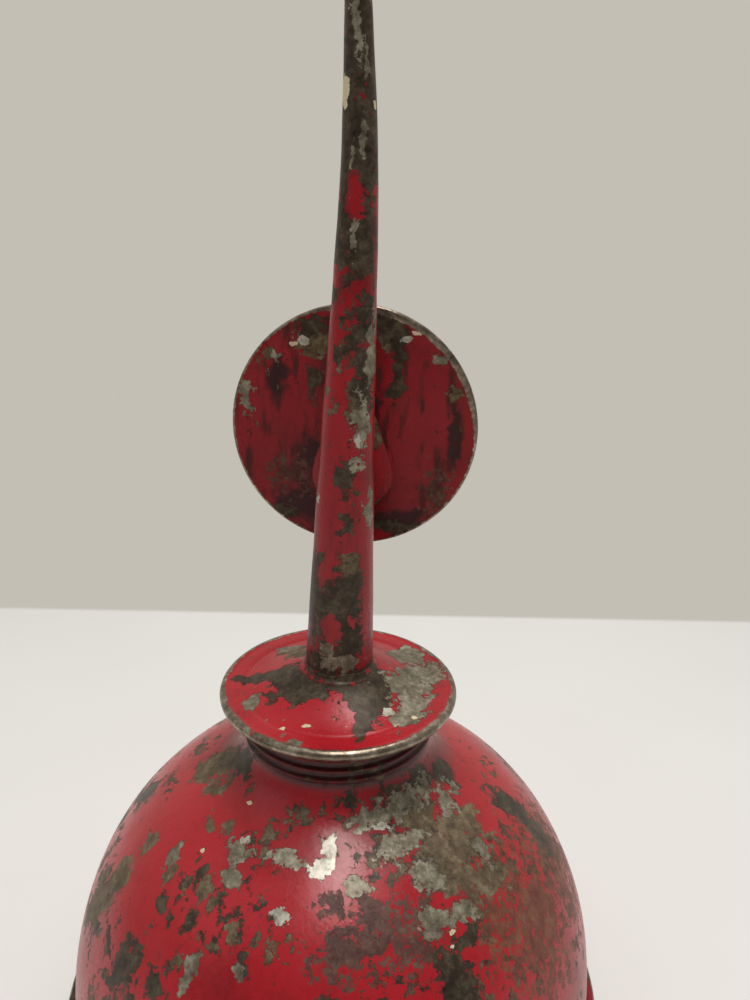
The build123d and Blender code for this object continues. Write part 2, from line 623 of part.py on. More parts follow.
def make_disc_solder(lever_arm):
    """Solder run round the spade where it meets the disc."""
    outline = extrude(spade_face(SOLDER_WIDTH), SOLDER_HEIGHT)
    run = ARM_PLANE * Pos(0, 0, DISC_FACE - SOLDER_HEIGHT) * outline
    disc_room = extrude(Circle(DISC_RADIUS - SOLDER_INSET), DISC_FACE)
    over_disc = ARM_PLANE * Pos(0, DISC_CENTRE, 0) * disc_room
    return largest((run & over_disc) - lever_arm)


def make_ball(radius, y, z):
    return Pos(0, y, z) * Sphere(radius)


def build_parts():
    cap_plate = make_cap_plate()
    spout = make_spout()
    bracket = make_lever_bracket(cap_plate)
    lever_arm = make_lever_arm()
    return {
        "can_dome": make_can_dome(),
        "can_bottom": make_can_bottom(),
        "base_seam": make_base_seam(),
        "cap_gasket": make_cap_gasket(),
        "cap_plate": cap_plate,
        "cap_skirt": make_cap_skirt(cap_plate),
        "spout": spout,
        "spout_solder": make_spout_solder(spout, cap_plate),
        "pump_barrel": make_pump_barrel(),
        "gland_bush": make_gland_bush(cap_plate),
        "gland_boss": make_gland_boss(cap_plate),
        "gland_nut": make_gland_nut(),
        "packing_washer": make_packing_washer(),
        "plunger_rod": make_plunger_rod(),
        "piston_washer": make_piston_washer(),
        "piston_cup": make_piston_cup(),
        "piston_nut": make_piston_nut(),
        "plunger_spring": make_plunger_spring(),
        "foot_valve": make_foot_valve(),
        "inlet_ball": make_ball(BALL_RADIUS, PUMP_Y, INLET_BALL_Z),
        "inlet_stop_pin": cross_rod(STOP_PIN_RADIUS, INLET_PIN_HALF, PUMP_Y, INLET_STOP_Z),
        "suction_tube": make_suction_tube(),
        "strainer": make_strainer(),
        "outlet_valve": make_outlet_valve(),
        "outlet_ball": make_ball(OUTLET_BALL_RADIUS, 0, OUTLET_BALL_Z),
        "outlet_stop_pin": cross_rod(STOP_PIN_RADIUS, OUTLET_PIN_HALF, 0, OUTLET_STOP_Z),
        "transfer_tube": make_transfer_tube(),
        "lever_bracket": bracket,
        "bracket_solder": make_bracket_solder(cap_plate, bracket),
        "pivot_pin": make_pivot_pin(),
        "lever_arm": lever_arm,
        "thumb_disc": make_thumb_disc(),
        "disc_solder": make_disc_solder(lever_arm),
    }


os.makedirs("parts", exist_ok=True)
for name, shape in build_parts().items():
    export_step(shape, f"parts/{name}.step")
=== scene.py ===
import json
from math import atan2, cos, exp, hypot, pi, radians, sin

import bpy
from mathutils import Matrix, Vector, noise


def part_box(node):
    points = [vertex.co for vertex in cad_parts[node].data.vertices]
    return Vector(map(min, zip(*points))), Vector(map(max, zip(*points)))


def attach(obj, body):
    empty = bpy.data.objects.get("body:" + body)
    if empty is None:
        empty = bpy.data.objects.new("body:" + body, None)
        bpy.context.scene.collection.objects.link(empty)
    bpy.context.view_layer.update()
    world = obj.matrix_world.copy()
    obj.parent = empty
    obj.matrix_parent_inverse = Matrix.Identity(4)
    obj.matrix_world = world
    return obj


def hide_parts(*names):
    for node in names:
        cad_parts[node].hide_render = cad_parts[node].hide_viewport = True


# Looks of a worn thumb-lever pump oiler: red enamel chipped down to zinc, rust and steel.
# Metres, +Z up; the spout stands on the Z axis and the thumb disc is behind it on +Y.

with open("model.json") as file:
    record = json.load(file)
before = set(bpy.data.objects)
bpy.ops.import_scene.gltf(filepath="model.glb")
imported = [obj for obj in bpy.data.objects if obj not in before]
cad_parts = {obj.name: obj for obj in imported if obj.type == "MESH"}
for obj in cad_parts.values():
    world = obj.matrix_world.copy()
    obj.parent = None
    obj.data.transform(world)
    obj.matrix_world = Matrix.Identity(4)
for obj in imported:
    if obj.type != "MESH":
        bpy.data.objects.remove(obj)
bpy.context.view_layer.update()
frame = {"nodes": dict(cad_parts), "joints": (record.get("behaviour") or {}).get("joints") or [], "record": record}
MM = 0.001

# ---- sizes read from the frame ----
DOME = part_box("can_dome")
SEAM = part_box("base_seam")
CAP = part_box("cap_plate")
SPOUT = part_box("spout")
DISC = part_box("thumb_disc")
DOME_RADIUS = DOME[1].x
NECK_TOP = DOME[1].z
CAP_RADIUS = CAP[1].x
CROWN_TOP = CAP[1].z
SPOUT_TIP = SPOUT[1].z
SPOUT_RADIUS = -SPOUT[0].x
DISC_RADIUS = DISC[1].x
THUMB_JOINT = next(joint for joint in frame["joints"] if joint["name"] == "thumb_lever")
PIVOT = Vector(THUMB_JOINT["pos_m"])

# ---- sizes of the visible detail ----
DOME_FOOT = 10.0 * MM          # the dome's wall is upright below this
DOME_RISE = 52.7 * MM
DOME_FULLNESS = 2.15
SHEET = 0.7 * MM
NECK_RADIUS = 17.9 * MM
NECK_FOOT = 66.0 * MM
FLARE_RADIUS = 25.0 * MM
FLARE_PULL = 8.0 * MM          # how far the flare keeps each end's direction
THREAD_PITCH = 2.0 * MM
THREAD_HEIGHT = 0.78 * MM
THREAD_BOTTOM = 66.9 * MM
THREAD_TOP = 72.3 * MM
RIM_BEAD = 1.0 * MM
BRIM = CAP[1].z - 3.8 * MM     # flat brim inside the cap's rim
GROOVE_RADIUS = 18.4 * MM
GROOVE_HALF_WIDTH = 0.5 * MM
CROWN_FLAT = 7.2 * MM
CAP_SHEET = 0.8 * MM
SPOUT_TIP_RADIUS = 1.65 * MM
SPOUT_WALL = 0.6 * MM
LEAN = radians(3.4)            # of the thumb disc towards the spout
DISC_CENTRE = 35.1 * MM        # up the arm from the pivot
DISC_FACE = 1.6 * MM           # behind the pivot
DISC_SHEET = 0.9 * MM
FILLET_REACH = 1.1 * MM        # of the solder round the spout's foot
FILLET_HEIGHT = 1.6 * MM
TURN_STEPS = 320               # facets round a turned piece


# ---------------------------------------------------------------- meshes

def smooth_object(name, vertices, faces):
    mesh = bpy.data.meshes.new(name)
    mesh.from_pydata(vertices, [], faces)
    mesh.update()
    for polygon in mesh.polygons:
        polygon.use_smooth = True
    piece = bpy.data.objects.new(name, mesh)
    bpy.context.scene.collection.objects.link(piece)
    return piece


def turned(name, outline, shape=None, steps=TURN_STEPS):
    """Closed ring of an outline of (radius, height) points; shape moves each finished point."""
    vertices = []
    for step in range(steps):
        angle = 2 * pi * step / steps
        for radius, height in outline:
            point = Vector((radius * sin(angle), -radius * cos(angle), height))
            vertices.append(shape(point, angle) if shape else point)
    count = len(outline)
    faces = []
    for step in range(steps):
        here = step * count
        there = (step + 1) % steps * count
        for i in range(count):
            j = (i + 1) % count
            faces.append((here + i, there + i, there + j, here + j))
    return smooth_object(name, vertices, faces)


def dense(points, spacing):
    """The same outline with points no further apart than spacing."""
    result = []
    for i, (x, y) in enumerate(points):
        next_x, next_y = points[(i + 1) % len(points)]
        pieces = max(1, round(hypot(next_x - x, next_y - y) / spacing))
        for k in range(pieces):
            share = k / pieces
            result.append((x + (next_x - x) * share, y + (next_y - y) * share))
    return result


def arc(centre, radius, start, end, count):
    """Points of an arc, in degrees from the outline's outward direction."""
    angles = [radians(start + (end - start) * k / (count - 1)) for k in range(count)]
    return [(centre[0] + radius * cos(a), centre[1] + radius * sin(a)) for a in angles]


def dome_height(radius, inset):
    share = min(1.0, radius / (DOME_RADIUS - inset))
    return DOME_FOOT + (DOME_RISE - inset) * (1 - share**DOME_FULLNESS) ** (1 / DOME_FULLNESS)


def flare(inset):
    """Curve from the dome up into the neck, keeping the direction at both ends."""
    step = 0.01 * MM
    start = Vector((FLARE_RADIUS, dome_height(FLARE_RADIUS, inset)))
    leaving = Vector((-step, dome_height(FLARE_RADIUS - step, inset) - start.y)).normalized()
    end = Vector((NECK_RADIUS - inset, NECK_FOOT - inset / 2))
    points = []
    for k in range(1, 15):
        t = k / 14
        pull_in = 3 * (1 - t) ** 2 * t
        pull_out = 3 * (1 - t) * t**2
        point = start * (1 - t) ** 3 + (start + leaving * FLARE_PULL / 2) * pull_in
        point += (end - Vector((0, FLARE_PULL / 3))) * pull_out + end * t**3
        points.append(tuple(point))
    return points


def shell_side(inset):
    """Wall, dome and flare of the can, from the bottom up."""
    widest = DOME_RADIUS - inset
    points = [(widest, DOME[0].z + 9.2 * MM * k / 6) for k in range(6)]
    for k in range(72):
        slope = radians(90 * k / 72)
        radius = widest * cos(slope) ** 0.9
        if radius > FLARE_RADIUS * 1.03:
            points.append((radius, dome_height(radius, inset)))
    return points + [(FLARE_RADIUS, dome_height(FLARE_RADIUS, inset))] + flare(inset)


def dent(point, centre, width, depth):
    """Depth of a soft dent at a point."""
    return depth * exp(-((point - centre).length / width) ** 2)


DENTS = [
    (Vector((-0.030, -0.036, 0.044)), 0.007, 0.0005),
    (Vector((0.012, -0.046, 0.036)), 0.009, 0.0004),
    (Vector((0.041, -0.020, 0.045)), 0.008, 0.0006),
    (Vector((-0.020, 0.044, 0.034)), 0.011, 0.0007),
    (Vector((0.034, 0.036, 0.028)), 0.008, 0.0006),
    (Vector((-0.050, 0.010, 0.022)), 0.009, 0.0005),
]


def weathered_can(point, angle):
    """Thread on the neck, and on the dome the slight waves and dents of pressed sheet."""
    radius = hypot(point.x, point.y)
    outward = Vector((point.x, point.y, 0)) / radius
    if point.z > NECK_FOOT and radius > NECK_RADIUS - 0.1 * MM:
        phase = (point.z - THREAD_BOTTOM) / THREAD_PITCH - angle / (2 * pi)
        ridge = max(0.0, cos(2 * pi * phase)) ** 0.8 * THREAD_HEIGHT
        fade = min(1.0, max(0.0, (point.z - THREAD_BOTTOM + 0.8 * MM) / (0.6 * MM)))
        fade *= min(1.0, max(0.0, (THREAD_TOP + 0.4 * MM - point.z) / (0.6 * MM)))
        return point + outward * ridge * fade
    inward = sum(dent(point, *place) for place in DENTS)
    wave = 0.12 * MM * (noise.noise(point / (14 * MM)) - 0.6)
    return point + (outward + Vector((0, 0, 0.5))) * (min(0.0, wave) - inward)


def make_can():
    inner_neck = NECK_RADIUS - 0.6 * MM
    neck = [(NECK_RADIUS, z) for z in steps_between(NECK_FOOT, NECK_TOP - 0.1 * MM, 0.16 * MM)]
    lip = [(NECK_RADIUS - 0.15 * MM, NECK_TOP), (inner_neck + 0.1 * MM, NECK_TOP)]
    inside = [(inner_neck, NECK_FOOT + 3 * MM)]
    outline = shell_side(0.0) + neck + lip + inside + shell_side(SHEET)[::-1]
    return turned("can_shell", outline, weathered_can)


def steps_between(low, high, spacing):
    count = round((high - low) / spacing)
    return [low + (high - low) * k / count for k in range(1, count + 1)]


def make_seam():
    """Rolled seam round the base: two soft rolls with a line between them."""
    outer = SEAM[1].x
    low, high = SEAM[0].z, SEAM[1].z
    roll = 1.25 * MM
    outline = [(DOME_RADIUS - 2 * MM, low), (outer - 2 * roll, low)]
    outline += arc((outer - roll, low + roll), roll, -80, 20, 9)
    outline += arc((outer - roll, high - roll), roll, -20, 90, 9)
    outline += [(DOME_RADIUS + 0.2 * MM, high), (DOME_RADIUS, high - 0.3 * MM)]
    outline += [(DOME_RADIUS, DOME[0].z), (DOME_RADIUS - 2 * MM, DOME[0].z)]

    def rolled(point, angle):
        ripple = 0.06 * MM * (noise.noise(point / (5 * MM)) - 0.7)
        outward = Vector((point.x, point.y, 0)).normalized()
        return point + outward * min(0.0, ripple)

    return turned("base_roll", dense(outline, 0.5 * MM), rolled)


def make_cap():
    """Crowned cap with its groove, brim and rolled rim, over a hollow underside."""
    bead = (CAP_RADIUS - RIM_BEAD, BRIM - RIM_BEAD + 0.1 * MM)
    crown_edge = GROOVE_RADIUS - GROOVE_HALF_WIDTH
    top = [(0.3 * MM, CROWN_TOP), (CROWN_FLAT, CROWN_TOP)]
    for k in range(1, 15):
        share = k / 14
        fall = sin(share * pi / 2) ** 1.55 * 0.55 + share * 0.45
        top.append((CROWN_FLAT + (crown_edge - CROWN_FLAT) * share, CROWN_TOP + (BRIM - CROWN_TOP) * fall))
    top += [(GROOVE_RADIUS, BRIM - 0.3 * MM), (GROOVE_RADIUS + GROOVE_HALF_WIDTH, BRIM)]
    rim = arc(bead, RIM_BEAD, 125, -150, 22)
    under = [(radius, height - CAP_SHEET) for radius, height in top[::-1]]
    outline = top + [(bead[0] - 1.2 * MM, BRIM)] + rim + under

    def pressed(point, angle):
        radius = hypot(point.x, point.y)
        wobble = 0.10 * MM * noise.noise(Vector((cos(angle), sin(angle), 3)) * 2.5)
        share = max(0.0, radius / CAP_RADIUS - 0.7)
        scale = 1 - 0.002 * abs(noise.noise(Vector((sin(angle), cos(angle), 7)) * 3))
        return Vector((point.x * scale, point.y * scale, point.z - abs(wobble) * share))

    return turned("screw_cap", dense(outline, 0.45 * MM), pressed)


def spout_drift(share):
    """Sideways drift of the spout's centre line: a slow swell that turns back near the tip."""
    stations = [0.0, 0.45, 0.95, 1.7, 2.2, 1.75, 0.9]
    places = [0.0, 0.18, 0.36, 0.55, 0.72, 0.87, 1.0]
    for k in range(6):
        if share <= places[k + 1]:
            width = places[k + 1] - places[k]
            t = (share - places[k]) / width
            before = (stations[k + 1] - stations[max(0, k - 1)]) / (places[k + 1] - places[max(0, k - 1)])
            after_k = min(6, k + 2)
            after = (stations[after_k] - stations[k]) / (places[after_k] - places[k])
            start = stations[k] * (2 * t**3 - 3 * t**2 + 1) + before * width * (t**3 - 2 * t**2 + t)
            end = stations[k + 1] * (3 * t**2 - 2 * t**3) + after * width * (t**3 - t**2)
            return (start + end) * MM
    return stations[-1] * MM


def make_spout():
    """Tapered tube of rolled sheet with a soldered lap seam down its back."""
    length = SPOUT_TIP - CROWN_TOP
    rings = 240
    steps = 72
    vertices = []
    for side in ("outside", "inside"):
        for ring in range(rings + 1):
            share = ring / rings
            if side == "inside":
                share = 1 - share
            radius = SPOUT_RADIUS + (SPOUT_TIP_RADIUS - SPOUT_RADIUS) * share
            height = CROWN_TOP + length * share
            for step in range(steps):
                angle = 2 * pi * step / steps
                swell = noise.noise(Vector((sin(angle), cos(angle), height / (9 * MM)))) - 0.5
                size = radius + 0.12 * MM * swell
                seam = exp(-(((angle - pi) * radius) / (0.7 * MM)) ** 2)
                size += 0.22 * MM * seam * (1 - 0.6 * share)
                if share > 0.985:
                    size -= 0.15 * MM
                if side == "inside":
                    size = max(radius * 0.55, radius - SPOUT_WALL)
                x = spout_drift(share) + size * sin(angle)
                vertices.append(Vector((x, -size * cos(angle), height)))
    total = 2 * (rings + 1)
    faces = []
    for ring in range(total):
        for step in range(steps):
            here = ring * steps + step
            beside = ring * steps + (step + 1) % steps
            above = (ring + 1) % total * steps
            faces.append((here, beside, above + (step + 1) % steps, above + step))
    return smooth_object("bent_spout", vertices, faces)


def make_spout_foot():
    """Fillet of solder that was painted over, round the spout's foot."""
    inner = SPOUT_RADIUS - 0.3 * MM
    foot = CROWN_TOP - 0.1 * MM
    outline = [(inner, foot), (SPOUT_RADIUS + FILLET_REACH, foot)]
    for k in range(1, 12):
        turn = pi / 2 * k / 12
        radius = SPOUT_RADIUS + FILLET_REACH * (1 - sin(turn))
        outline.append((radius, foot + FILLET_HEIGHT * (1 - cos(turn))))
    outline.append((inner, foot + FILLET_HEIGHT))

    def uneven(point, angle):
        lump = noise.noise(Vector((cos(angle), sin(angle), 1)) * 2.2)
        height = foot + (point.z - foot) * (0.85 + 0.3 * lump)
        return Vector((point.x, point.y, height))

    return turned("spout_fillet", outline, uneven, 144)


ARM_TURN = Matrix.Translation(PIVOT) @ Matrix.Rotation(LEAN, 4, "X")


def arm_point(across, back, up):
    """Point given across the lever, behind the pivot and up the leaning arm."""
    return ARM_TURN @ Vector((across, back, up))


def make_disc():
    """Thumb disc: thin sheet with a rolled edge, faintly dished."""
    half = DISC_SHEET / 2
    edge = DISC_RADIUS - half
    face = [(0.3 * MM, 0.0), (edge * 0.5, 0.0), (edge - 2.2 * MM, 0.0), (edge - 0.6 * MM, -0.12 * MM)]
    rolled = arc((edge - 0.1 * MM, half), half + 0.1 * MM, -70, 70, 12)
    back = [(edge - 1.2 * MM, DISC_SHEET), (edge * 0.5, DISC_SHEET), (0.3 * MM, DISC_SHEET)]

    def placed(point, angle):
        radius = hypot(point.x, point.y)
        across = point.x
        up = -point.y
        wave = noise.noise(Vector((across, up, 0)) / (17 * MM)) * 0.16 * MM
        share = min(1.0, radius / DISC_RADIUS)
        behind = DISC_FACE + point.z + wave * share
        return arm_point(across, behind, DISC_CENTRE + up)

    return turned("thumb_plate", dense(face + rolled + back, 0.6 * MM), placed, 256)


# ---------------------------------------------------------------- shader helper

class Shader:
    """Adds nodes to one material. Methods take sockets or plain values and return a socket."""

    def __init__(self, name):
        self.material = bpy.data.materials.new(name)
        self.material.use_nodes = True
        self.tree = self.material.node_tree
        self.tree.nodes.clear()
        self.where = self.node("ShaderNodeTexCoord").outputs["Object"]

    def node(self, kind, inputs=None, **settings):
        made = self.tree.nodes.new(kind)
        for key, value in settings.items():
            setattr(made, key, value)
        for key, value in (inputs or {}).items():
            if isinstance(value, bpy.types.NodeSocket):
                self.tree.links.new(value, made.inputs[key])
            else:
                made.inputs[key].default_value = value
        return made

    def math(self, operation, first, second=0.0, clamp=False):
        inputs = {0: first, 1: second}
        return self.node("ShaderNodeMath", inputs, operation=operation, use_clamp=clamp).outputs[0]

    def total(self, *weighted, plus=0.0):
        """Sum of (value, weight) pairs and a number."""
        result = plus
        for value, weight in weighted:
            inputs = {0: value, 1: weight, 2: result}
            result = self.node("ShaderNodeMath", inputs, operation="MULTIPLY_ADD").outputs[0]
        return result

    def cells(self, size, where):
        """A random value for each angular flake of about the given size in millimetres."""
        inputs = {"Vector": where, "Scale": 1 / (size * MM)}
        colour = self.node("ShaderNodeTexVoronoi", inputs).outputs["Color"]
        return self.parts(colour)[0]

    def vector_math(self, operation, first, second=(0, 0, 0)):
        return self.node("ShaderNodeVectorMath", {0: first, 1: second}, operation=operation).outputs[0]

    def parts(self, vector):
        return self.node("ShaderNodeSeparateXYZ", {0: vector}).outputs

    def radius(self):
        """Distance from the can's axis."""
        x, y, _ = self.parts(self.where)
        return self.math("SQRT", self.math("ADD", self.math("MULTIPLY", x, x), self.math("MULTIPLY", y, y)))

    def noise(self, size, detail=3.0, roughness=0.55, where=None, stretch=None, shift=0.0):
        """Noise with lumps of about the given size in millimetres."""
        vector = self.where if where is None else where
        if stretch:
            vector = self.vector_math("MULTIPLY", vector, stretch)
        if shift:
            vector = self.vector_math("ADD", vector, (shift, shift / 2, shift / 3))
        inputs = {"Vector": vector, "Scale": 1 / (size * MM), "Detail": detail, "Roughness": roughness}
        return self.node("ShaderNodeTexNoise", inputs).outputs[0]

    def warped(self, size, amount, where=None):
        """Coordinates pushed about by noise, so that outlines drawn on them turn ragged."""
        vector = self.where if where is None else where
        inputs = {"Vector": vector, "Scale": 1 / (size * MM), "Detail": 5.0, "Roughness": 0.62}
        push = self.node("ShaderNodeTexNoise", inputs).outputs["Color"]
        centred = self.vector_math("SUBTRACT", push, (0.5, 0.5, 0.5))
        return self.vector_math("ADD", vector, self.vector_math("MULTIPLY", centred, (2 * amount * MM,) * 3))

    def rise(self, value, low, high):
        """0 below low, 1 above high, smooth between; falls instead when high is below low."""
        falling = high < low
        inputs = {"Value": value, "From Min": min(low, high), "From Max": max(low, high)}
        if falling:
            inputs.update({"To Min": 1.0, "To Max": 0.0})
        return self.node("ShaderNodeMapRange", inputs, interpolation_type="SMOOTHSTEP").outputs[0]

    def blend(self, factor, first, second):
        """Mixes two numbers."""
        return self.node("ShaderNodeMix", {0: factor, 2: first, 3: second}).outputs[0]

    def colour(self, factor, first, second):
        """Mixes two colours."""
        inputs = {0: factor, 6: opaque(first), 7: opaque(second)}
        return self.node("ShaderNodeMix", inputs, data_type="RGBA").outputs[2]

    def ramp(self, factor, *stops):
        made = self.node("ShaderNodeValToRGB", {0: factor})
        elements = made.color_ramp.elements
        while len(elements) < len(stops):
            elements.new(0.5)
        for element, (place, colour) in zip(elements, stops):
            element.position = place
            element.color = opaque(colour)
        return made.outputs[0]

    def nearness(self, places, where):
        """1 in the middle of the nearest place, 0 on its edge and below 0 outside."""
        nearest = None
        for centre, half_sizes, turn in places:
            inputs = {0: where, 1: centre, 2: turn, 3: half_sizes}
            local = self.node("ShaderNodeMapping", inputs, vector_type="TEXTURE").outputs[0]
            distance = self.node("ShaderNodeVectorMath", {0: local}, operation="LENGTH").outputs["Value"]
            nearest = distance if nearest is None else self.math("MINIMUM", nearest, distance)
        return self.math("SUBTRACT", 1.0, nearest)

    def finish(self, base, roughness, metallic=0.0, height=None, depth=0.1, fine=None, specular=0.5):
        """Principled surface; height is bumped at depth millimetres, fine at a hundredth."""
        normal = None
        if fine is not None:
            inputs = {"Height": fine, "Distance": 0.02 * MM, "Strength": 1.0}
            normal = self.node("ShaderNodeBump", inputs).outputs[0]
        if height is not None:
            inputs = {"Height": height, "Distance": depth * MM, "Strength": 1.0}
            if normal is not None:
                inputs["Normal"] = normal
            normal = self.node("ShaderNodeBump", inputs).outputs[0]
        inputs = {"Base Color": base, "Roughness": roughness, "Metallic": metallic,
                  "Specular IOR Level": specular}
        if normal is not None:
            inputs["Normal"] = normal
        surface = self.node("ShaderNodeBsdfPrincipled", inputs).outputs[0]
        self.node("ShaderNodeOutputMaterial", {"Surface": surface})
        return self.material


def opaque(colour):
    if isinstance(colour, bpy.types.NodeSocket):
        return colour
    return (*colour, 1.0) if len(colour) == 3 else colour


# ---------------------------------------------------------------- worn places

CAN_SIDE = shell_side(0.0) + [(NECK_RADIUS, NECK_TOP)]


def can_radius(height):
    """Outer radius of the can at a height in millimetres."""
    z = height * MM
    for (low_radius, low), (high_radius, high) in zip(CAN_SIDE, CAN_SIDE[1:]):
        if low <= z < high:
            return low_radius + (high_radius - low_radius) * (z - low) / (high - low)
    return DOME_RADIUS


def on_dome(bearing, height, half_width, half_length):
    """Spot on the dome: bearing from the front in degrees, the rest in millimetres."""
    radius = can_radius(height)
    lower = can_radius(height - 0.5)
    tilt = -atan2(lower - radius, 0.5 * MM)
    turn = radians(bearing)
    centre = (radius * sin(turn), -radius * cos(turn), height * MM)
    return centre, (half_width * MM, 4 * MM, half_length * MM), (tilt, 0, turn)


def on_cap(x, y, half_x, half_y):
    return (x * MM, y * MM, BRIM + 1.5 * MM), (half_x * MM, half_y * MM, 8 * MM), (0, 0, 0)


def on_spout(bearing, height, half_width, half_length):
    """Spot on the spout, its height measured up from the crown."""
    share = height * MM / (SPOUT_TIP - CROWN_TOP)
    radius = SPOUT_RADIUS + (SPOUT_TIP_RADIUS - SPOUT_RADIUS) * share
    turn = radians(bearing)
    centre = (spout_drift(share) + radius * sin(turn), -radius * cos(turn), CROWN_TOP + height * MM)
    return centre, (half_width * MM, max(1.5, half_width * 0.8) * MM, half_length * MM), (0, 0, turn)


def on_disc(across, up, half_across, half_up):
    """Spot on the disc's front, measured from its centre."""
    centre = arm_point(across * MM, DISC_FACE, DISC_CENTRE + up * MM)
    return tuple(centre), (half_across * MM, 3 * MM, half_up * MM), (LEAN, 0, 0)


RED = ((0.225, 0.006, 0.011), (0.38, 0.0095, 0.017), (0.44, 0.014, 0.023))
DARK = ((0.013, 0.009, 0.005), (0.052, 0.036, 0.021), (0.120, 0.094, 0.060))
OLIVE = ((0.050, 0.033, 0.018), (0.125, 0.086, 0.046), (0.235, 0.190, 0.115))
ZINC = ((0.080, 0.062, 0.040), (0.200, 0.172, 0.122), (0.41, 0.385, 0.300))
SILVER = ((0.16, 0.14, 0.11), (0.46, 0.43, 0.36), (0.62, 0.60, 0.53))
BROWN = ((0.040, 0.018, 0.010), (0.120, 0.050, 0.026), (0.200, 0.110, 0.055))
PLUM = ((0.046, 0.011, 0.010), (0.092, 0.031, 0.022), (0.150, 0.080, 0.055))
PEWTER = ((0.060, 0.043, 0.028), (0.235, 0.190, 0.142), (0.52, 0.46, 0.375))
CREAM = (0.66, 0.56, 0.37)
FILM = (0.030, 0.010, 0.008)
# soot colour, also used for painted shade on the neck
SOOT_AND_SHADE = (0.020, 0.006, 0.006)


